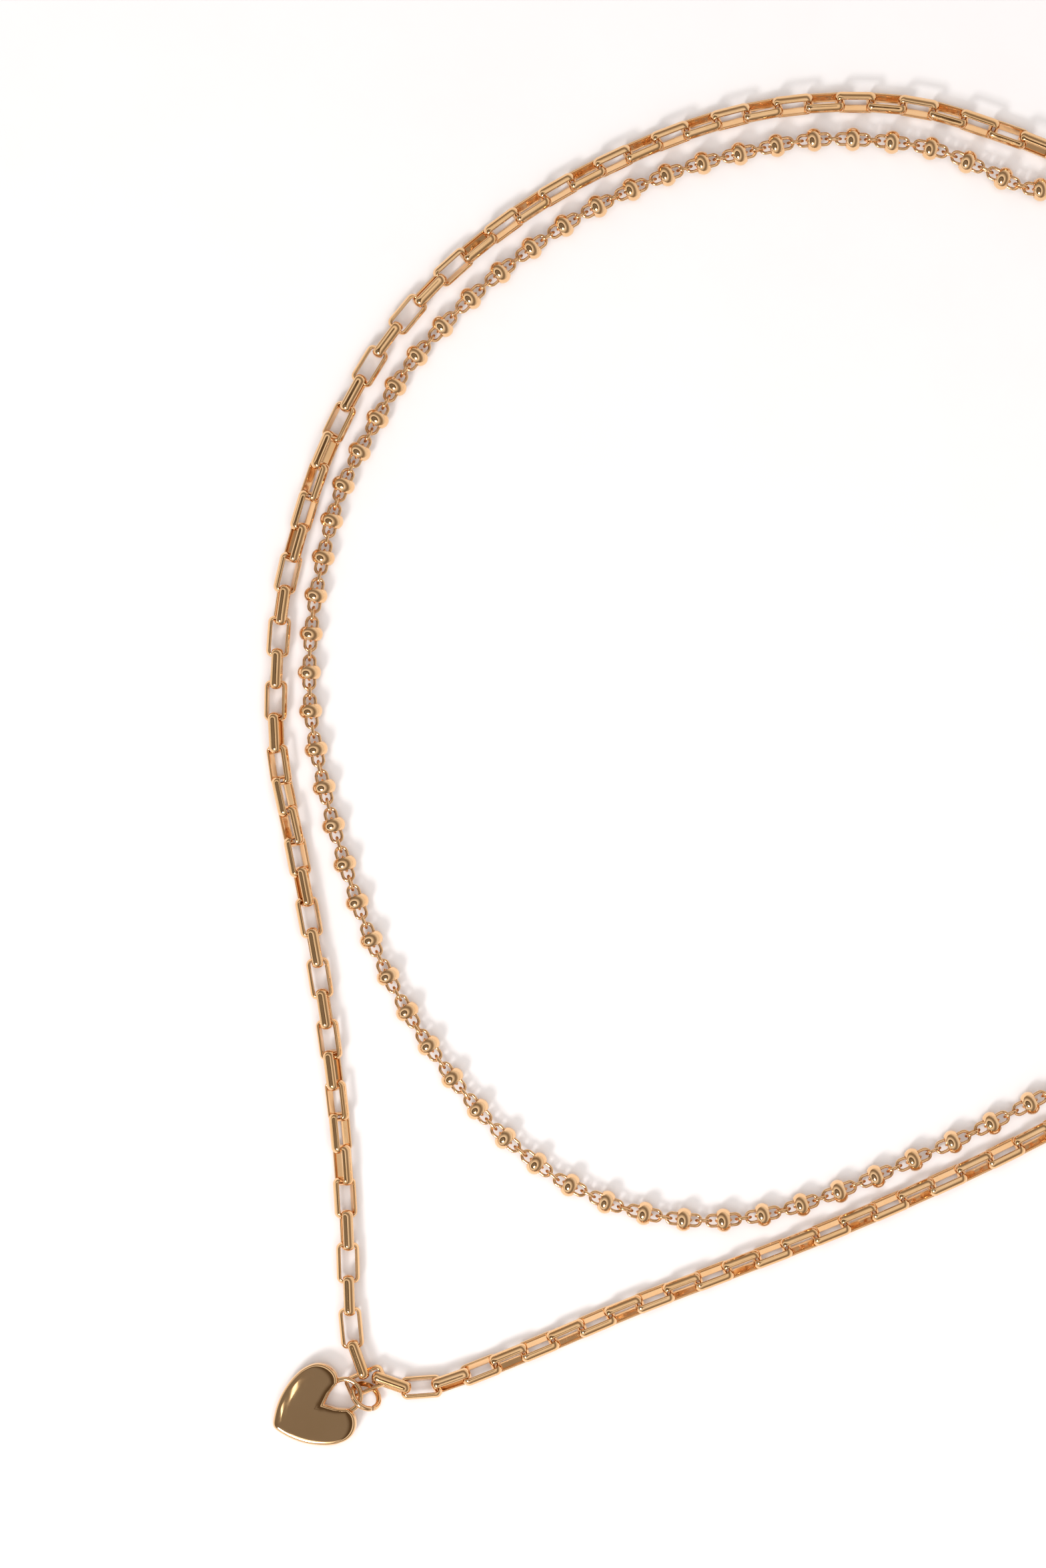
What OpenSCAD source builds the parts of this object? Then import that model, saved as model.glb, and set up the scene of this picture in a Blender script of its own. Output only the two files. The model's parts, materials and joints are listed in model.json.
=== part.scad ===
// Two-strand pendant necklace, laid out closed on a flat surface. Millimetres.
// A strand of box links carries a heart lock pendant on a jump ring. A shorter
// strand of round cable links threads rondelle beads. Both strands end on a
// plain ring at each side, and a spring ring clasp joins the two sides.
// +Y runs from the pendant to the clasp, +Z is up and the surface is z = 0.

/* [Box links] */
// Length of the opening in a box link
link_opening_l = 4.15; // [4.1:0.01:4.2]
// Overall width of a box link
link_w = 2.75; // [2.7:0.01:2.8]
// Width of the metal strip that a box link is bent from
strip_w = 1.2; // [1.1:0.05:1.25]
// Thickness of that strip
strip_t = 0.42; // [0.38:0.01:0.44]
// Mean distance between the hooks of neighbouring box links
link_pitch = 3.88; // [3.85:0.01:3.9]

/* [Beaded strand] */
// Radius of a cable link's wire centre line
cable_r = 0.82; // [0.81:0.01:0.83]
// Radius of the cable link's wire
cable_wire_r = 0.16; // [0.14:0.01:0.17]
// Diameter of a rondelle bead
bead_d = 2.85; // [2.8:0.01:2.9]
// Length of a bead along the strand
bead_l = 1.6; // [1.5:0.05:1.7]
// Diameter of the bead's bore
bead_bore_d = 2.06; // [2.04:0.01:2.1]
// Mean distance between beads
bead_pitch = 4.8; // [4.75:0.01:4.85]

/* [Pendant] */
// Thickness of the heart plate
heart_t = 1.7; // [1.5:0.1:1.8]
// Radius of the shackle's centre line
bail_r = 1.95; // [1.9:0.01:2.0]
// Radius of the shackle's wire
bail_wire_r = 0.3; // [0.25:0.01:0.32]
// Radius of the jump ring's centre line
jump_r = 1.73; // [1.7:0.01:1.76]
// Radius of the jump ring's wire
jump_wire_r = 0.3; // [0.25:0.01:0.32]

/* [Clasp] */
// Radius of the end rings' centre line
end_ring_r = 2.6; // [2.55:0.05:2.65]
// Radius of the end rings' wire
end_wire_r = 0.3; // [0.25:0.01:0.32]
// Radius of the small upright links at the clasp
clasp_link_r = 1.35; // [1.33:0.01:1.36]
// Radius of their wire
clasp_link_wire_r = 0.25; // [0.22:0.01:0.26]
// Radius of the clasp tube's centre line
tube_r = 2.4; // [2.35:0.05:2.45]
// Outer radius of the clasp tube
tube_out_r = 0.6; // [0.58:0.01:0.62]
// Bore radius of the clasp tube
tube_bore_r = 0.42; // [0.4:0.01:0.44]
// Radius of the bolt that slides in the tube
bolt_r = 0.34; // [0.3:0.01:0.36]

/* [Hidden] */
// Height of both strands' centre lines, and of every fold line
mid_z = 1.5;
// Fold lines across the necklace, as distances along +Y
fold_y = [-55.5, -25, 2, 28.5, 51, 75];
panels = len(fold_y);
// Points that each strand passes through, from its lowest point up to its end ring
long_left_route = [
    [-1.65, -80.2], [-4.7, -77.8], [-7.3, -74.4], [-13.5, -65.2], [-21, -55],
    [-31, -43], [-41.5, -31.5],
    [-50, -22.4], [-56, -12.8], [-59.6, -5.5], [-62, 2], [-64, 10], [-65, 18.5],
    [-65, 27], [-63.3, 37], [-59, 49], [-52.8, 60], [-45.6, 69.6], [-37, 77.5],
    [-26.2, 83.8], [-14.5, 87], [-8, 88.2], [-2, 89.2]
];
long_right_route = [
    [-0.15, -79.7], [3.5, -78.9], [6.5, -76.7], [8.9, -73.7], [14, -66.7], [21, -56.7],
    [28, -47.4],
    [35.3, -37.7], [42, -28.2], [48.9, -17.7], [55.4, -6.4], [60.3, 6], [63.6, 19],
    [65, 33], [64, 47], [59.7, 60.5], [52.5, 72.5], [43, 82], [32.5, 87.4],
    [23, 89.3], [16.4, 89.4]
];
beaded_left_route = [
    [5.5, -48], [-3, -47], [-12, -44.2], [-20.5, -40.4], [-28.5, -35.5], [-36, -29.5],
    [-43, -23], [-49.3, -16], [-54.2, -8], [-57.6, 0], [-60.2, 8.5], [-61, 17.5],
    [-61.2, 25], [-59.6, 34.5], [-56.8, 43.5], [-53, 52], [-47.2, 61], [-40.8, 68.1],
    [-33.4, 74.7], [-23, 80.2], [-15.5, 81.8], [-10, 82.5], [-6.4, 84.5], [-2.8, 87]
];
beaded_right_route = [
    [5.5, -48], [14, -46.8], [22.7, -43.2], [29.6, -37.8], [35.6, -30.6], [41, -22.8],
    [46.5, -14.3], [51.6, -5], [56, 5.5], [59.5, 18], [61.2, 31.5], [60.3, 46],
    [56.2, 58.5], [49.5, 70], [40, 78.8], [29, 84], [22.5, 84.4], [19, 85.8], [16.1, 87.7]
];
// How far each box strand has twisted, as [distance along the strand, degrees]
long_left_twist = [
    [0, 0], [14, 3], [22, 20], [28, 42], [34, 60], [41, 78], [50, 92], [60, 110],
    [66, 132], [72, 140], [78, 165], [88, 182], [98, 200], [104, 215], [110, 228],
    [116, 250], [122, 268], [132, 275], [138, 290], [146, 312], [208, 315], [224, 358]
];
long_right_twist = [[0, -11], [6, -15], [9.5, -25], [13.5, -36], [18, -45], [190, -45], [216, 0]];

link_outer_l = link_opening_l + 2 * strip_t;
corner_r = 0.8;
inner_corner_r = 0.38;
cable_links_per_bead = 4;
// Turn of each next cable link, and the small lean that alternates along the strand
cable_turn = 90;
cable_lean = 7;

clasp_y = 89;
clasp_z = 1.6;
hook_gap = 0.55;
left_ring_x = 0;
left_link_x = left_ring_x + end_ring_r + hook_gap;
tail_r = 0.8;
tail_wire_r = 0.22;
tail_x = left_link_x + hook_gap + tail_r;
tail_overlap = 0.25;
clasp_x = tail_x + tail_r + tail_wire_r - tail_overlap + tube_r + tube_out_r;
bolt_hook = 0.45;
right_link_x = clasp_x + tube_r + bolt_hook;
right_ring_x = right_link_x + hook_gap + end_ring_r;
// Angles round the clasp tube, anticlockwise from +X
mouth_a = 43;
mouth_end_a = 87;
bolt_tip_a = 38;
bolt_end_a = 125;
trigger_a = 105;
slot_a = 98;
slot_sweep = 70;
bore_end_a = 250;
spring_a = 184;
spring_sweep = 52;

notch = [-3.8, -85.7];
heart_dir = 56;
heart_tip = 6.7;
heart_rise = 7;
bail_x = 2.7;
bail_pin_l = 0.9;
jump_at = [-0.1, -82.25, 1.6];
jump_dir = -7;
jump_lean = 46;
jump_split = 4;
center_at = [-1, -80.75, 1.35];
center_dir = 56;
center_rise = 6;

// ---- curves and strands ----

spline_steps = 12;

// Catmull-Rom point between b and c
function spline_point(a, b, c, d, t) =
    0.5 * (2 * b + (c - a) * t + (2 * a - 5 * b + 4 * c - d) * t * t
        + (3 * b - a - 3 * c + d) * t * t * t);

function spline(p) = let (n = len(p)) concat(
    [for (i = [0:n - 2]) for (j = [0:spline_steps - 1])
        spline_point(
            i > 0 ? p[i - 1] : 2 * p[0] - p[1], p[i], p[i + 1],
            i < n - 2 ? p[i + 2] : 2 * p[n - 1] - p[n - 2], j / spline_steps)],
    [p[n - 1]]);

function run_lengths(d) =
    [for (i = 0, s = 0; i < len(d);
        s = s + (i + 1 < len(d) ? norm(d[i + 1] - d[i]) : 0), i = i + 1) s];

// A strand as tables of x and y over the distance along it, then where its
// sections start and end: the fold lines from first_fold up, and its two ends
function strand(route, first_fold) =
    let (d = spline(route), s = run_lengths(d), last = len(d) - 1,
        s_of_y = [for (i = [0:last]) [d[i].y, s[i]]])
    [[for (i = [0:last]) [s[i], d[i].x]], [for (i = [0:last]) [s[i], d[i].y]],
     concat([0], [for (k = [first_fold:panels - 1]) lookup(fold_y[k], s_of_y)], [s[last]])];

function on_strand(strand, s) = [lookup(s, strand[0]), lookup(s, strand[1])];

// The point at distance s, running straight on past the strand's upper end
function at(strand, s) =
    let (end = strand[2][len(strand[2]) - 1], tip = on_strand(strand, end))
    s <= end ? on_strand(strand, s)
        : tip + (s - end) * (tip - on_strand(strand, end - 0.5)) / 0.5;

function section_count(strand, k, pitch) =
    round((strand[2][k + 1] - strand[2][k]) / pitch);

function count_before(strand, k, pitch) =
    k == 0 ? 0 : count_before(strand, k - 1, pitch) + section_count(strand, k - 1, pitch);

long_left = strand(long_left_route, 0);
long_right = strand(long_right_route, 0);
beaded_left = strand(beaded_left_route, 1);
beaded_right = strand(beaded_right_route, 1);

function arc(c, r, a0, a1, n) =
    [for (i = [0:n]) let (a = a0 + (a1 - a0) * i / n) c + r * [cos(a), sin(a)]];

// ---- chain pieces, each along +X about its own centre ----

function rounded_rectangle(l, w, r, n) = concat(
    arc([l / 2 - r, w / 2 - r], r, 0, 90, n), arc([r - l / 2, w / 2 - r], r, 90, 180, n),
    arc([r - l / 2, r - w / 2], r, 180, 270, n), arc([l / 2 - r, r - w / 2], r, 270, 360, n));

module box_link() {
    outer = rounded_rectangle(link_outer_l, link_w, corner_r, 4);
    inner = rounded_rectangle(link_opening_l, link_w - 2 * strip_t, inner_corner_r, 2);
    no = len(outer);
    translate([0, 0, -strip_w / 2])
        linear_extrude(strip_w)
            polygon(concat(outer, inner),
                [[for (i = [0:no - 1]) i], [for (i = [0:len(inner) - 1]) no + i]]);
}

module ring(r, wire_r, sweep = 360) {
    rotate_extrude(angle = sweep, $fn = 48)
        translate([r, 0])
            circle(wire_r, $fn = 32);
}

module bead() {
    crown_r = 1.3;
    rotate([0, 90, 0])
        rotate_extrude($fn = 48)
            intersection() {
                translate([bead_d / 2 - crown_r, 0])
                    circle(crown_r, $fn = 64);
                translate([bead_bore_d / 2, -bead_l / 2])
                    square([bead_d, bead_l]);
            }
}

// Puts a piece midway between two hooks, facing from a to b
module between(a, b, roll) {
    mid = (a + b) / 2;
    translate([mid.x, mid.y, mid_z])
        rotate([0, 0, atan2(b.y - a.y, b.x - a.x)])
            rotate([roll, 0, 0])
                children();
}

// ---- strand sections ----

module box_section(strand, twist, k) {
    s0 = strand[2][k];
    n = section_count(strand, k, link_pitch);
    step = (strand[2][k + 1] - s0) / n;
    first = count_before(strand, k, link_pitch);
    for (i = [0:n - 1])
        between(at(strand, s0 + i * step), at(strand, s0 + (i + 1) * step),
            90 * (first + i + 1) + lookup(s0 + (i + 0.5) * step, twist))
            box_link();
}

// Section k of a beaded strand runs from fold line k - 1 (or its lowest point) to
// fold line k. bead_at says which of each four cable links runs through the bead.
function beads_in(strand, k) = section_count(strand, k - 1, bead_pitch);
function cable_step(strand, k) =
    (strand[2][k] - strand[2][k - 1]) / (cable_links_per_bead * beads_in(strand, k));

module cable_section(strand, k, bead_at, extra = 0) {
    step = cable_step(strand, k);
    s0 = strand[2][k - 1];
    for (i = [0:cable_links_per_bead * beads_in(strand, k) - 1 + extra])
        between(at(strand, s0 + i * step), at(strand, s0 + (i + 1) * step),
            cable_turn * (i + bead_at + 1) + cable_lean * sin(i * 67))
            ring(cable_r, cable_wire_r);
}

module bead_section(strand, k, bead_at) {
    step = cable_step(strand, k);
    for (i = [0:beads_in(strand, k) - 1]) {
        s = strand[2][k - 1] + (i * cable_links_per_bead + bead_at) * step;
        between(at(strand, s), at(strand, s + step), 0)
            bead();
    }
}

module long_left_section(k) {
    color("#c99a55") box_section(long_left, long_left_twist, k);
}

module long_right_section(k) {
    color("#c99a55") box_section(long_right, long_right_twist, k);
}

module cable_left_section(k) {
    // One more upright link hooks the end ring
    color("#b9843f") cable_section(beaded_left, k, 2, k == panels ? 1 : 0);
}

module beads_left_section(k) {
    color("#d8a964") bead_section(beaded_left, k, 2);
}

module cable_right_section(k) {
    color("#b9843f") cable_section(beaded_right, k, 1);
}

module beads_right_section(k) {
    color("#d8a964") bead_section(beaded_right, k, 1);
}

// ---- pendant ----

// The pendant's own frame: notch at the origin, tip on -X, tip resting on z = 0
module heart_frame() {
    translate([notch.x, notch.y, heart_t / 2 + heart_tip * sin(heart_rise)])
        rotate([0, -heart_rise, heart_dir])
            children();
}

module heart_plate() {
    lobe = [0.45, 2.55];
    lobe_r = 2.47;
    flank = [1.9, -4.42];
    flank_r = 9.7;
    half = concat([[0, 0], [1.3, 1.1], [2.45, 1.75]], arc(lobe, lobe_r, -18, 102, 12),
        arc(flank, flank_r, 105, 149, 8), arc([-6.1, 0], 0.6, 150, 180, 2));
    color("#8c7048")
        heart_frame()
            translate([0, 0, -heart_t / 2])
                linear_extrude(heart_t)
                    polygon(concat(half,
                        [for (i = [len(half) - 2:-1:1]) [half[i].x, -half[i].y]]));
}

module heart_bail() {
    color("#d8a964")
        heart_frame() {
            translate([bail_x, 0, 0])
                rotate([0, 0, -90])
                    ring(bail_r, bail_wire_r, 180);
            for (side = [-1, 1])
                translate([bail_x - bail_pin_l, side * bail_r, 0])
                    rotate([0, 90, 0])
                        cylinder(h = bail_pin_l, r = bail_wire_r, $fn = 32);
        }
}

module jump_ring() {
    color("#d8a964")
        translate(jump_at)
            rotate([0, 0, jump_dir])
                rotate([-jump_lean, 0, 0])
                    rotate([0, 0, -30])
                        ring(jump_r, jump_wire_r, 360 - jump_split);
}

module center_link() {
    color("#c99a55")
        translate(center_at)
            rotate([0, -center_rise, center_dir])
                box_link();
}

// ---- clasp ----

module end_ring(x) {
    color("#d8a964")
        translate([x, clasp_y, mid_z])
            ring(end_ring_r, end_wire_r);
}

module clasp_link(x) {
    color("#b9843f")
        translate([x, clasp_y, clasp_z])
            rotate([90, 0, 0])
                ring(clasp_link_r, clasp_link_wire_r);
}

module clasp_frame() {
    translate([clasp_x, clasp_y, clasp_z])
        children();
}

module clasp_tube() {
    slot_w = 0.6;
    color("#c99a55") {
        clasp_frame()
            difference() {
                rotate([0, 0, mouth_end_a])
                    ring(tube_r, tube_out_r, 360 - mouth_end_a + mouth_a);
                rotate([0, 0, mouth_end_a - 1])
                    ring(tube_r, tube_bore_r, bore_end_a - mouth_end_a + 1);
                rotate([0, 0, bolt_tip_a - 2])
                    ring(tube_r, tube_bore_r, mouth_a - bolt_tip_a + 3);
                rotate([0, 0, slot_a])
                    rotate_extrude(angle = slot_sweep, $fn = 48)
                        translate([tube_r, -slot_w / 2])
                            square([1, slot_w]);
            }
        translate([tail_x, clasp_y, clasp_z])
            ring(tail_r, tail_wire_r);
    }
}

module clasp_bolt() {
    color("#d8a964")
        clasp_frame()
            rotate([0, 0, bolt_tip_a])
                ring(tube_r, bolt_r, bolt_end_a - bolt_tip_a);
}

module clasp_trigger() {
    color("#d8a964")
        clasp_frame()
            rotate([0, 0, trigger_a]) {
                translate([tube_r, 0, 0])
                    rotate([0, 90, 0])
                        cylinder(h = 0.85, r = 0.2, $fn = 32);
                translate([tube_r + 1, 0, 0])
                    sphere(0.34, $fn = 40);
            }
}

module clasp_spring() {
    color("silver")
        clasp_frame()
            rotate([0, 0, spring_a])
                ring(tube_r, bolt_r, spring_sweep);
}

center_link();
jump_ring();
heart_plate();
heart_bail();
for (k = [0:panels]) {
    long_left_section(k);
    long_right_section(k);
}
for (k = [1:panels]) {
    cable_left_section(k);
    beads_left_section(k);
    cable_right_section(k);
    beads_right_section(k);
}
end_ring(left_ring_x);  // left_end_ring
end_ring(right_ring_x);  // right_end_ring
clasp_link(left_link_x);  // left_clasp_link
clasp_link(right_link_x);  // right_clasp_link
clasp_tube();
clasp_bolt();
clasp_trigger();
clasp_spring();
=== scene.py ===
"""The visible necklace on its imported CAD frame.

Every CAD chain node is read solid by solid for the place and turn of its links or
beads, and a finer link, ring or bead is built at each of those places.

Lengths are in metres. The sections of links, rings and beads are given in millimetres
and scaled by MM. Azimuths are from +X towards +Y.
"""

import json
import math

import bpy
import numpy as np
from mathutils import Matrix, Vector

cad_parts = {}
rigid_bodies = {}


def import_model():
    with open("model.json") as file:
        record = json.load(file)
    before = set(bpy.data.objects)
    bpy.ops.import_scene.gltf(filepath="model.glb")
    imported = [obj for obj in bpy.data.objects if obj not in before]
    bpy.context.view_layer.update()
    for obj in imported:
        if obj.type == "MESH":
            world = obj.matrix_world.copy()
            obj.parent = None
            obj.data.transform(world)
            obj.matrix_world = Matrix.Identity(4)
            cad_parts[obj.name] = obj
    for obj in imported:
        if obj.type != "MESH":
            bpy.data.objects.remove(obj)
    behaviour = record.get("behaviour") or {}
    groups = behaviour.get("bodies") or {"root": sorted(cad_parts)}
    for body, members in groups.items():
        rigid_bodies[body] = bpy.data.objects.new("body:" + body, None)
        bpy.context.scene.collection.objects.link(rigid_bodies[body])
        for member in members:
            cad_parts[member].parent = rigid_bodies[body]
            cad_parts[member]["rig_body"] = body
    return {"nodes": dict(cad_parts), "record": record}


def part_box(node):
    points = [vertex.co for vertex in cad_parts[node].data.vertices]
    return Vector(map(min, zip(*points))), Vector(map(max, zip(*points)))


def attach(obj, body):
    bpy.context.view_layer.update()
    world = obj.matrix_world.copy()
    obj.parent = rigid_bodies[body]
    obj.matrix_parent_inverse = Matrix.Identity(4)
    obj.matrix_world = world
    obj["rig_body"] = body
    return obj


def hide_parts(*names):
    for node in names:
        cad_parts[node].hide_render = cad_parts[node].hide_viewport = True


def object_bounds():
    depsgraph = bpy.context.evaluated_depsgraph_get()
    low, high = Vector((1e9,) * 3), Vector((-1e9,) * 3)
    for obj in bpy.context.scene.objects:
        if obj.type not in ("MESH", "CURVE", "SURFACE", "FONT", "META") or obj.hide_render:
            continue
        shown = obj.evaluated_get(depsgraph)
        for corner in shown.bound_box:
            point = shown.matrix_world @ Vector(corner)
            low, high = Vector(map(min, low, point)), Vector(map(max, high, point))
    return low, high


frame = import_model()
cad_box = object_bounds()
NODES = frame["nodes"]
SLOT = {p["node"]: p["material_slot"] for p in frame["record"]["subparts"]}
MM = 0.001


# ---- materials ----

MIX_FACTOR, MIX_FIRST, MIX_SECOND, MIX_RESULT = 0, 6, 7, 2   # a colour Mix node's sockets
NOISE_LOW, NOISE_HIGH = 0.3, 0.7                             # the range that a noise mostly keeps to
DRIFT, SWELL, SMUDGE, HAIRS = 260.0, 420.0, 900.0, 9000.0    # noise cycles in a metre
HAIR_DEPTH = 2e-6


def new_material(name):
    """A material with its node tree and its shader."""
    m = bpy.data.materials.new(name)
    m.use_nodes = True
    return m, m.node_tree, m.node_tree.nodes["Principled BSDF"]


def add(tree, kind, **inputs):
    """A new node, with the named inputs set."""
    node = tree.nodes.new(kind)
    for key, value in inputs.items():
        node.inputs[key.replace("_", " ")].default_value = value
    return node


def noise(tree, place, scale, detail, roughness):
    """A noise value at place."""
    node = add(tree, "ShaderNodeTexNoise", Scale=scale, Detail=detail, Roughness=roughness)
    tree.links.new(place, node.inputs["Vector"])
    return node.outputs["Fac"]


def spread(tree, source, low, high):
    """A noise's middle range taken to low..high."""
    node = add(tree, "ShaderNodeMapRange", From_Min=NOISE_LOW, From_Max=NOISE_HIGH, To_Min=low, To_Max=high)
    tree.links.new(source, node.inputs["Value"])
    return node.outputs["Result"]


def blend(tree, source, first, second):
    """A colour that a noise moves between first and second."""
    node = add(tree, "ShaderNodeMix")
    node.data_type = "RGBA"
    node.inputs[MIX_FIRST].default_value = (*first, 1)
    node.inputs[MIX_SECOND].default_value = (*second, 1)
    tree.links.new(spread(tree, source, 0.0, 1.0), node.inputs[MIX_FACTOR])
    return node.outputs[MIX_RESULT]


def bump(tree, height, strength, distance):
    """A bump node raised by height."""
    node = add(tree, "ShaderNodeBump", Strength=strength, Distance=distance)
    tree.links.new(height, node.inputs["Height"])
    return node


def metal(name, colour, deep, rough, wave=0.0, grain=1.0):
    """Polished metal: a colour that drifts to deep, smudges, fine hairlines and a slow waviness."""
    m, tree, bsdf = new_material(name)
    link = tree.links.new
    place = add(tree, "ShaderNodeTexCoord").outputs["Object"]
    drift = noise(tree, place, DRIFT, detail=3.0, roughness=0.55)
    link(blend(tree, drift, colour, deep), bsdf.inputs["Base Color"])
    smudge = noise(tree, place, SMUDGE, detail=4.0, roughness=0.6)
    link(spread(tree, smudge, rough * 0.7, rough * 1.5), bsdf.inputs["Roughness"])
    stretch = add(tree, "ShaderNodeMapping", Scale=(1.0, 0.08, 1.0), Rotation=(0.0, 0.0, 0.6))
    link(place, stretch.inputs["Vector"])
    hairs = noise(tree, stretch.outputs["Vector"], HAIRS * grain, detail=2.0, roughness=0.5)
    surface = bump(tree, hairs, strength=0.12, distance=HAIR_DEPTH)
    if wave:
        swell = noise(tree, place, SWELL, detail=1.0, roughness=0.4)
        waviness = bump(tree, swell, strength=1.0, distance=wave)
        link(surface.outputs["Normal"], waviness.inputs["Normal"])
        surface = waviness
    link(surface.outputs["Normal"], bsdf.inputs["Normal"])
    bsdf.inputs["Metallic"].default_value = 1.0
    return m


GOLD = (0.92, 0.60, 0.325)
MATERIALS = {
    "box_links": metal("box_link_gold", GOLD, (0.88, 0.54, 0.26), 0.11, wave=4e-6),
    "cable_links": metal("cable_link_gold", (0.89, 0.57, 0.31), (0.83, 0.49, 0.23), 0.13, wave=3e-6),
    "beads": metal("bead_gold", (0.93, 0.62, 0.35), (0.88, 0.55, 0.28), 0.10, wave=5e-6),
    "pendant": metal("pendant_gold", (0.91, 0.60, 0.33), (0.89, 0.58, 0.31), 0.05, wave=1.2e-6, grain=0.6),
    "rings": metal("ring_gold", (0.93, 0.62, 0.35), (0.90, 0.57, 0.30), 0.10, wave=2e-6),
    "clasp": metal("clasp_gold", GOLD, (0.87, 0.54, 0.26), 0.12, wave=3e-6),
    "spring": metal("spring_steel", (0.60, 0.60, 0.58), (0.48, 0.48, 0.46), 0.25),
}


# ---- reading the CAD solids ----

def connected(faces, count):
    """A label for each of count points, the same for all points that faces join."""
    label = np.arange(count)
    edges = np.vstack([faces[:, :2], faces[:, 1:]])
    while True:
        low = np.minimum(label[edges[:, 0]], label[edges[:, 1]])
        new = label.copy()
        np.minimum.at(new, edges[:, 0], low)
        np.minimum.at(new, edges[:, 1], low)
        while (new != new[new]).any():
            new = new[new]
        if (new == label).all():
            return label
        label = new


def triangles(node):
    """Corner points of a CAD node's triangles, and the number of the solid that each belongs to."""
    mesh = NODES[node].data
    points = np.empty(len(mesh.vertices) * 3, np.float32)
    mesh.vertices.foreach_get("co", points)
    mesh.calc_loop_triangles()
    corners = np.empty(len(mesh.loop_triangles) * 3, np.int64)
    mesh.loop_triangles.foreach_get("vertices", corners)
    points, same = np.unique(points.reshape(-1, 3), axis=0, return_inverse=True)
    faces = same.reshape(-1)[corners].reshape(-1, 3)
    label = connected(faces, len(points))
    solid = np.unique(label[faces[:, 0]], return_inverse=True)[1].reshape(-1)
    return points.astype(float)[faces], solid


def frames_of(node):
    """Centre and axes (as columns, longest spread first) of the surface of each solid in a CAD node."""
    tri, solid = triangles(node)
    area = np.linalg.norm(np.cross(tri[:, 1] - tri[:, 0], tri[:, 2] - tri[:, 0]), axis=1) / 2
    found = []
    for s in range(solid.max() + 1):
        t, a = tri[solid == s], area[solid == s]
        middle = t.mean(axis=1)
        centre = (a[:, None] * middle).sum(0) / a.sum()
        corner, middle = t - centre, middle - centre
        # a triangle's second moment: a twelfth from its corners and nine twelfths from its middle
        moment = sum(np.einsum("n,ni,nj->ij", a, corner[:, k], corner[:, k]) for k in range(3)) / 12
        moment += 0.75 * np.einsum("n,ni,nj->ij", a, middle, middle)
        axes = np.linalg.eigh(moment)[1][:, ::-1]
        if np.linalg.det(axes) < 0:
            axes[:, 2] *= -1
        found.append((centre, axes))
    return found


# ---- building meshes ----

def grid_faces(rows, columns, wrap_rows=True):
    """Quads over rows of points, each row a closed ring of columns points."""
    r, c = np.arange(rows if wrap_rows else rows - 1), np.arange(columns)
    i, j = np.meshgrid(r, c, indexing="ij")
    i2, j2 = (i + 1) % rows, (j + 1) % columns
    quads = np.stack([i * columns + j, i2 * columns + j, i2 * columns + j2, i * columns + j2], -1)
    return quads.reshape(-1, 4)


def mesh_object(name, points, faces, material, slot, body, replaces):
    """A smooth piece that moves with body and stands for the CAD nodes in replaces."""
    mesh = bpy.data.meshes.new(name)
    mesh.from_pydata([tuple(p) for p in points], [], [tuple(int(v) for v in f) for f in faces])
    mesh.validate()
    mesh.shade_smooth()
    mesh.materials.append(material)
    o = bpy.data.objects.new(name, mesh)
    bpy.context.scene.collection.objects.link(o)
    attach(o, body)
    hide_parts(*replaces)


def copies(points, faces, places):
    """One mesh holding a copy of points at each (centre, axes)."""
    n = len(points)
    all_points = np.vstack([centre + points @ axes.T for centre, axes in places])
    all_faces = np.vstack([faces + n * i for i in range(len(places))])
    return all_points, all_faces


def box_link_mesh():
    """A D-section strip bent to a rounded rectangle: flat inside, domed outside."""
    length, width, corner = 4.99, 2.78, 0.80
    half = 0.65                    # half the strip's width
    side, end = 0.54, 0.44         # its thickness along the link's sides and at its ends
    dome, dome_power, dome_reach = 0.30, 2.3, 0.96 * half
    inner_flat = half - 0.10
    eased = [(0.02, half - 0.04), (0.07, half - 0.01), (0.13, half)]
    corners = [(1, 1), (-1, 1), (-1, -1), (1, -1)]
    cx, cy = length / 2 - corner, width / 2 - corner
    stations = []
    for k, (sx, sy) in enumerate(corners):
        for a in np.linspace(90 * k, 90 * k + 90, 10):
            stations.append((sx * cx, sy * cy, a))
        nx, ny = corners[(k + 1) % 4]
        for t in (0.08, 0.2, 0.35, 0.5, 0.65, 0.8, 0.92):
            stations.append((cx * (sx + (nx - sx) * t), cy * (sy + (ny - sy) * t), 90 * k + 90))
    points = []
    for x, y, degrees in stations:
        a = math.radians(degrees)
        inner = corner - (side * math.sin(a) ** 2 + end * math.cos(a) ** 2)
        section = [(inner, z) for z in np.linspace(-inner_flat, inner_flat, 5)]
        section += [(inner + out, z) for out, z in eased]
        section += [(corner - dome * (abs(z) / half) ** dome_power, z)
                    for z in np.linspace(dome_reach, -dome_reach, 13)]
        section += [(inner + out, -z) for out, z in reversed(eased)]
        points += [(x + out * math.cos(a), y + out * math.sin(a), z) for out, z in section]
    return np.array(points) * MM, grid_faces(len(stations), len(section))


def tube(line, wire, across, closed=True):
    """Round wire of a radius along a plane curve of (x, y, angle of the curve's normal)."""
    turn = np.arange(across) * 2 * np.pi / across
    points = [(x + wire * math.cos(b) * math.cos(a), y + wire * math.cos(b) * math.sin(a), wire * math.sin(b))
              for x, y, a in line for b in turn]
    return np.array(points) * MM, grid_faces(len(line), across, wrap_rows=closed)


def cable_link_mesh():
    """A small oval of round wire, long along local X."""
    half_length, half_width, wire = 0.86, 0.66, 0.195
    steps = 36
    line = [(math.copysign(half_length - half_width, math.cos(a)) + half_width * math.cos(a),
             half_width * math.sin(a), a) for a in (np.arange(steps) + 0.5) * 2 * math.pi / steps]
    return tube(line, wire, 12)


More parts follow.
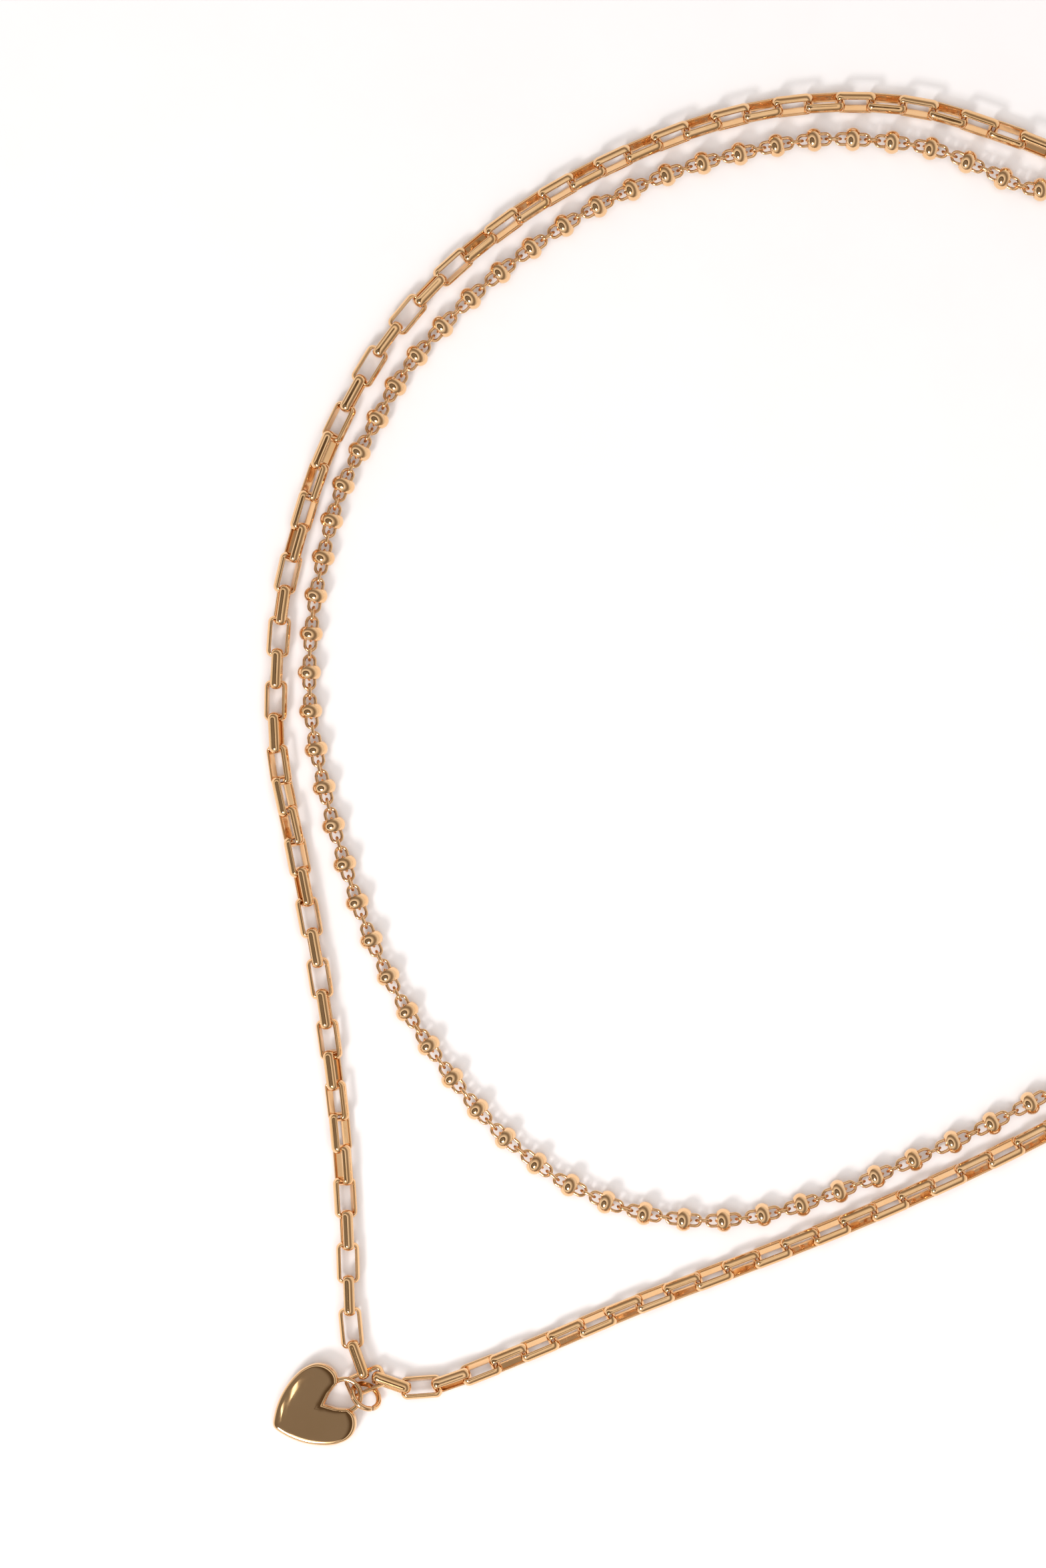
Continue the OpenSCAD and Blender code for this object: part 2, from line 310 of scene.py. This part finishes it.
def bead_mesh():
    """A rondelle turned about its local Z: rounded outside, eased edges, plain bore."""
    crown, offset, crown_half = 1.0, 0.425, 0.70
    bore, bore_half, around = 1.03, 0.4, 44
    edge = [(1.115, -0.745), (1.085, -0.775), (1.055, -0.78), (1.035, -0.755)]
    profile = [(offset + math.sqrt(crown ** 2 - z * z), z) for z in np.linspace(crown_half, -crown_half, 17)]
    profile += edge + [(bore, z) for z in (-bore_half, 0.0, bore_half)] + [(r, -z) for r, z in reversed(edge)]
    points = [(r * math.cos(a), r * math.sin(a), z)
              for a in np.arange(around) * 2 * math.pi / around for r, z in profile]
    return np.array(points) * MM, grid_faces(around, len(profile))


def unit(v):
    return v / np.linalg.norm(v)


def along_strand(places):
    """Turns each place's local X along the line through its nearest neighbours, keeping its last axis."""
    centres = np.array([c for c, _ in places])
    turned = []
    for centre, axes in places:
        near = np.argsort(np.linalg.norm(centres - centre, axis=1))[1:3]
        d = centres[near] - centre
        line = d[0] - d[1] if d[0] @ d[1] < 0 else d[0]
        z = axes[:, 2]
        x = unit(line - (line @ z) * z)
        turned.append((centre, np.stack([x, np.cross(z, x), z], 1)))
    return turned


def even_loop(points, corner, count=240, passes=14):
    """Closed curve through points in order, evenly spaced and smoothed except at points[corner]."""
    p = np.roll(points, -corner, axis=0)
    p = np.vstack([p, p[:1]])
    run = np.concatenate([[0], np.cumsum(np.linalg.norm(np.diff(p, axis=0), axis=1))])
    s = np.linspace(0, run[-1], count + 1)[:-1]
    loop = np.stack([np.interp(s, run, p[:, k]) for k in (0, 1)], 1)
    for _ in range(passes):
        loop[1:] = (np.roll(loop, 1, axis=0) + 2 * loop + np.roll(loop, -1, axis=0))[1:] / 4
    return loop


def inset(loop, by):
    """The anticlockwise loop moved inwards by a distance, mitred at its corners."""
    longest_mitre = 0.35
    ahead, behind = np.roll(loop, -1, axis=0) - loop, loop - np.roll(loop, 1, axis=0)
    normals = [np.stack([-d[:, 1], d[:, 0]], 1) / np.linalg.norm(d, axis=1)[:, None] for d in (ahead, behind)]
    both = normals[0] + normals[1]
    return loop + by * both / np.maximum(longest_mitre, (both ** 2).sum(1) / 2)[:, None]


def heart_outline(plate, centre, turn):
    """The CAD plate's outline in its own plane, a little larger, and half its thickness."""
    corners = (triangles(plate)[0].reshape(-1, 3) - centre) @ turn
    half = corners[:, 2].max()
    on_front = corners[:, 2] > half * 0.999
    rim = corners[on_front][:, :2]
    rim = np.unique(np.round(rim, 7), axis=0)
    rim = rim[np.argsort(np.arctan2(rim[:, 1], rim[:, 0]))]
    on_axis = np.abs(rim[:, 1]) < 0.05 * MM
    notch = int(np.flatnonzero(on_axis & (rim[:, 0] > 0))[0])
    return inset(even_loop(rim, notch), -0.05 * MM), half


def heart_mesh(plate, hoop):
    """The plate's own outline, with a rounded rim and a very slightly crowned face."""
    centre, axes = frames_of(plate)[0]
    up = axes[:, 2] * (1 if axes[2, 2] > 0 else -1)
    x = frames_of(hoop)[0][0] - centre
    x = unit(x - (x @ up) * up)
    turn = np.stack([x, np.cross(up, x), up], 1)
    loop, half = heart_outline(plate, centre, turn)
    n = len(loop)
    top, drop, ease = half + 0.06 * MM, 0.15 * MM, 0.5 * MM   # the face's height, and its fall to the rim
    front, back = 0.45 * MM, 0.14 * MM                        # radii of the rim's rounding
    bend = [math.radians(v) for v in np.linspace(0, 72, 9)]
    back_rings = (0.15, 0.4, 0.7)                             # as fractions of the outline
    face_rings = (0.975, 0.945, 0.91, 0.865, 0.81, 0.74, 0.65, 0.54, 0.42, 0.29, 0.15)
    edge = inset(loop, front * (1 - math.cos(bend[-1])))

    def face_height(points):
        near = np.linalg.norm(points[:, None] - loop[None], axis=2).min(axis=1)
        return top - drop * np.exp(-near / ease)

    rounded = [(inset(loop, back * (1 - math.cos(f))), np.full(n, back - half - back * math.sin(f)))
               for f in (1.57, 1.0, 0.5)]
    stack = [(rounded[0][0] * s, np.full(n, -half)) for s in back_rings]
    stack += rounded + [(loop, np.full(n, back - half))]
    for f in bend:
        height = face_height(edge) - front * (math.sin(bend[-1]) - math.sin(f))
        stack.append((inset(loop, front * (1 - math.cos(f))), height))
    for s in face_rings:
        stack.append((edge * s, face_height(edge * s)))
    points = np.vstack([np.column_stack(level) for level in stack] + [[[0, 0, -half], [0, 0, top]]])
    faces = [tuple(f) for f in grid_faces(len(stack), n, wrap_rows=False)[:, ::-1]]
    last, low, high = (len(stack) - 1) * n, len(points) - 2, len(points) - 1
    faces += [((k + 1) % n, k, low) for k in range(n)]
    faces += [(last + k, last + (k + 1) % n, high) for k in range(n)]
    return centre + points @ turn.T, faces


def split_angle(corners):
    """The angle of a CAD ring's split, from the triangles that cap its two ends."""
    middle = corners.mean(axis=1)
    angle = np.arctan2(middle[:, 1], middle[:, 0])
    normal = np.cross(corners[:, 1] - corners[:, 0], corners[:, 2] - corners[:, 0])
    normal /= np.linalg.norm(normal, axis=1)[:, None]
    caps = np.abs(normal[:, 1] * np.cos(angle) - normal[:, 0] * np.sin(angle)) > 0.98
    return math.atan2(np.sin(angle[caps]).mean(), np.cos(angle[caps]).mean())


def split_ring_mesh(node, grow):
    """A round wire ring on a CAD ring, with its split in the same place and slightly eased ends."""
    steps, across, eased = 72, 18, 0.80
    half_gap = math.radians(2)
    centre, axes = frames_of(node)[0]
    corners = (triangles(node)[0] - centre) @ axes / MM
    r = np.hypot(corners[..., 0], corners[..., 1])
    radius, wire = (r.max() + r.min()) / 2, (r.max() - r.min()) / 2
    start, sweep = split_angle(corners) + half_gap, 2 * math.pi - 2 * half_gap
    turn = [start + sweep * t for t in np.linspace(0, 1, steps)]
    line = [(radius * math.cos(a), radius * math.sin(a), a) for a in turn]
    points, faces = tube(line, wire + grow, across, closed=False)
    points = points.reshape(steps, across, 3)
    for end in (0, -1):
        middle = points[end].mean(0)
        points[end] = middle + (points[end] - middle) * eased
    points = np.vstack([points.reshape(-1, 3), points[0].mean(0)[None], points[-1].mean(0)[None]])
    total = steps * across
    caps = [((j + 1) % across, j, total) for j in range(across)]
    caps += [(total - across + j, total - across + (j + 1) % across, total + 1) for j in range(across)]
    return centre + points @ axes.T, [tuple(f) for f in faces] + caps


SHAPES = {"box_links": box_link_mesh(), "cable_links": cable_link_mesh(), "beads": bead_mesh()}
for node, cad in NODES.items():
    slot, body = SLOT[node], cad["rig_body"]
    look = (MATERIALS[slot], slot, body, [node])
    if slot in SHAPES:
        places = frames_of(node)
        if slot == "cable_links":
            places = along_strand(places)
        mesh_object("look_" + node, *copies(*SHAPES[slot], places), *look)
    elif node == "heart_plate":
        mesh_object("look_heart", *heart_mesh("heart_plate", "heart_bail"), *look)
    elif node == "jump_ring":
        mesh_object("look_jump_ring", *split_ring_mesh(node, 0.01), *look)
    else:
        cad.data.materials.clear()
        cad.data.materials.append(MATERIALS[slot])
        cad.data.shade_smooth()


# ---- surroundings ----

def inside(box, x, y, z):
    """The point at these fractions of a box's sides."""
    low, high = box
    return Vector([a + (b - a) * f for a, b, f in zip(low, high, (x, y, z))])


def towards(azimuth, elevation):
    """The unit vector at an azimuth and an elevation in degrees."""
    a, e = math.radians(azimuth), math.radians(elevation)
    return Vector((math.cos(a) * math.cos(e), math.sin(a) * math.cos(e), math.sin(e)))


def stage_floor():
    """A plain sheet of white paper under the necklace."""
    m, tree, bsdf = new_material("paper_white")
    place = add(tree, "ShaderNodeTexCoord").outputs["Object"]
    tooth = noise(tree, place, 60.0, detail=4.0, roughness=0.6)
    tree.links.new(blend(tree, tooth, (0.90, 0.885, 0.89), (0.885, 0.868, 0.873)), bsdf.inputs["Base Color"])
    bsdf.inputs["Roughness"].default_value = 0.7
    reach, gap = 3.0, 0.00002
    mesh = bpy.data.meshes.new("floor")
    corners = [(-reach, -reach, 0), (reach, -reach, 0), (reach, reach, 0), (-reach, reach, 0)]
    mesh.from_pydata(corners, [], [(0, 1, 2, 3)])
    mesh.materials.append(m)
    o = bpy.data.objects.new("floor", mesh)
    o.location.z = cad_box[0].z - gap
    bpy.context.scene.collection.objects.link(o)


def surroundings():
    """The room that the metal mirrors: rings of light and dark round one point high up.

    The ramp runs from the opposite point, at 0, to that point, at 1. Its colours are pale, dark
    some 70 degrees from the point, pale again, and then a dark disc with a greyer middle.
    """
    stops = [(0.20, (0.95, 0.93, 0.93)), (0.40, (0.85, 0.82, 0.81)), (0.53, (0.40, 0.36, 0.33)),
             (0.66, (0.20, 0.165, 0.13)), (0.76, (0.45, 0.42, 0.40)), (0.84, (0.85, 0.83, 0.82)),
             (0.898, (0.98, 0.96, 0.95)), (0.912, (0.09, 0.065, 0.045)), (0.945, (0.10, 0.075, 0.05)),
             (0.962, (0.25, 0.232, 0.218)), (0.990, (0.24, 0.22, 0.20)), (1.0, (0.18, 0.15, 0.12))]
    world = bpy.data.worlds.new("studio")
    bpy.context.scene.world = world
    world.use_nodes = True
    tree = world.node_tree
    along = add(tree, "ShaderNodeVectorMath")
    along.operation = "DOT_PRODUCT"
    along.inputs[1].default_value = towards(237, 54)
    tree.links.new(add(tree, "ShaderNodeTexCoord").outputs["Generated"], along.inputs[0])
    position = add(tree, "ShaderNodeMapRange", From_Min=-1.0)
    tree.links.new(along.outputs["Value"], position.inputs["Value"])
    ramp = add(tree, "ShaderNodeValToRGB")
    elements = ramp.color_ramp.elements
    while len(elements) < len(stops):
        elements.new(0.5)
    for e, (place, colour) in zip(elements, stops):
        e.position, e.color = place, (*colour, 1)
    tree.links.new(position.outputs["Result"], ramp.inputs["Fac"])
    tree.links.new(ramp.outputs["Color"], tree.nodes["Background"].inputs["Color"])
    tree.nodes["Background"].inputs["Strength"].default_value = 1.0


def softbox(name, target, azimuth, elevation, distance, size, power, colour):
    """An area light on a sphere round target, facing it."""
    data = bpy.data.lights.new(name, "AREA")
    data.shape = "RECTANGLE"
    data.size, data.size_y = size
    data.energy, data.color = power, colour
    o = bpy.data.objects.new(name, data)
    bpy.context.scene.collection.objects.link(o)
    back = towards(azimuth, elevation)
    o.location = target + back * distance
    o.rotation_euler = (-back).to_track_quat("-Z", "Y").to_euler()
    o.visible_camera = False
    return o


def window_glint(name, target, outward, size, power):
    """A small card whose reflection lies on the heart's face at target, with its width at azimuth outward."""
    distance = 0.3
    faces = [f for f in bpy.data.objects["look_heart"].data.polygons if f.normal.z > 0.9]
    face = min(faces, key=lambda f: (f.center - target).length)
    eye = (bpy.context.scene.camera.location - face.center).normalized()
    z = -eye.reflect(face.normal)
    x = towards(outward, 0)
    x = (x - z * x.dot(z)).normalized()
    card = softbox(name, face.center, 0, 90, distance, size, power, (1.0, 0.98, 0.85))
    card.location = face.center + z * distance
    card.rotation_euler = Matrix((x, z.cross(x), z)).transposed().to_euler()
    card.visible_diffuse = False


def camera(centre, turn, frame_height, distance):
    """Looks straight down at centre, turned about the vertical, and shows frame_height there."""
    data = bpy.data.cameras.new("camera")
    data.sensor_width, data.sensor_fit = 36.0, "AUTO"
    data.lens = data.sensor_width * distance / frame_height
    data.clip_start, data.clip_end = 0.01, 50.0
    o = bpy.data.objects.new("camera", data)
    bpy.context.scene.collection.objects.link(o)
    o.location = centre + Vector((0, 0, distance))
    o.rotation_euler = (0, 0, math.radians(turn))
    bpy.context.scene.camera = o


centre = inside(cad_box, 0.32745, 0.44234, 0.46941)   # of the photograph's frame
heart_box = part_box("heart_plate")
by_heart = inside(heart_box, -0.02, 0.34, 0.70)
stage_floor()
surroundings()
softbox("key", centre, azimuth=270, elevation=46, distance=0.75, size=(0.16, 0.16), power=2.5,
        colour=(1.0, 0.985, 0.98))
fill = softbox("fill", centre, azimuth=302, elevation=84, distance=0.9, size=(0.9, 0.9), power=4.9,
               colour=(1.0, 0.99, 0.99))
fill.visible_glossy = False
low_card = softbox("low_card", by_heart, azimuth=276, elevation=54, distance=0.75, size=(0.20, 0.22),
                   power=0.19, colour=(1.0, 0.97, 0.90))
low_card.visible_diffuse = False
camera(centre, turn=32, frame_height=0.18808, distance=0.9)
upper_glint, lower_glint = inside(heart_box, 0.098, 0.538, 0.907), inside(heart_box, 0.103, 0.241, 0.837)
window_glint("glint_1", upper_glint, outward=165, size=(0.026, 0.0035), power=0.0011)
window_glint("glint_2", lower_glint, outward=185, size=(0.022, 0.0030), power=0.0008)
bpy.context.scene.view_settings.view_transform = "Standard"
bpy.context.scene.view_settings.look = "None"
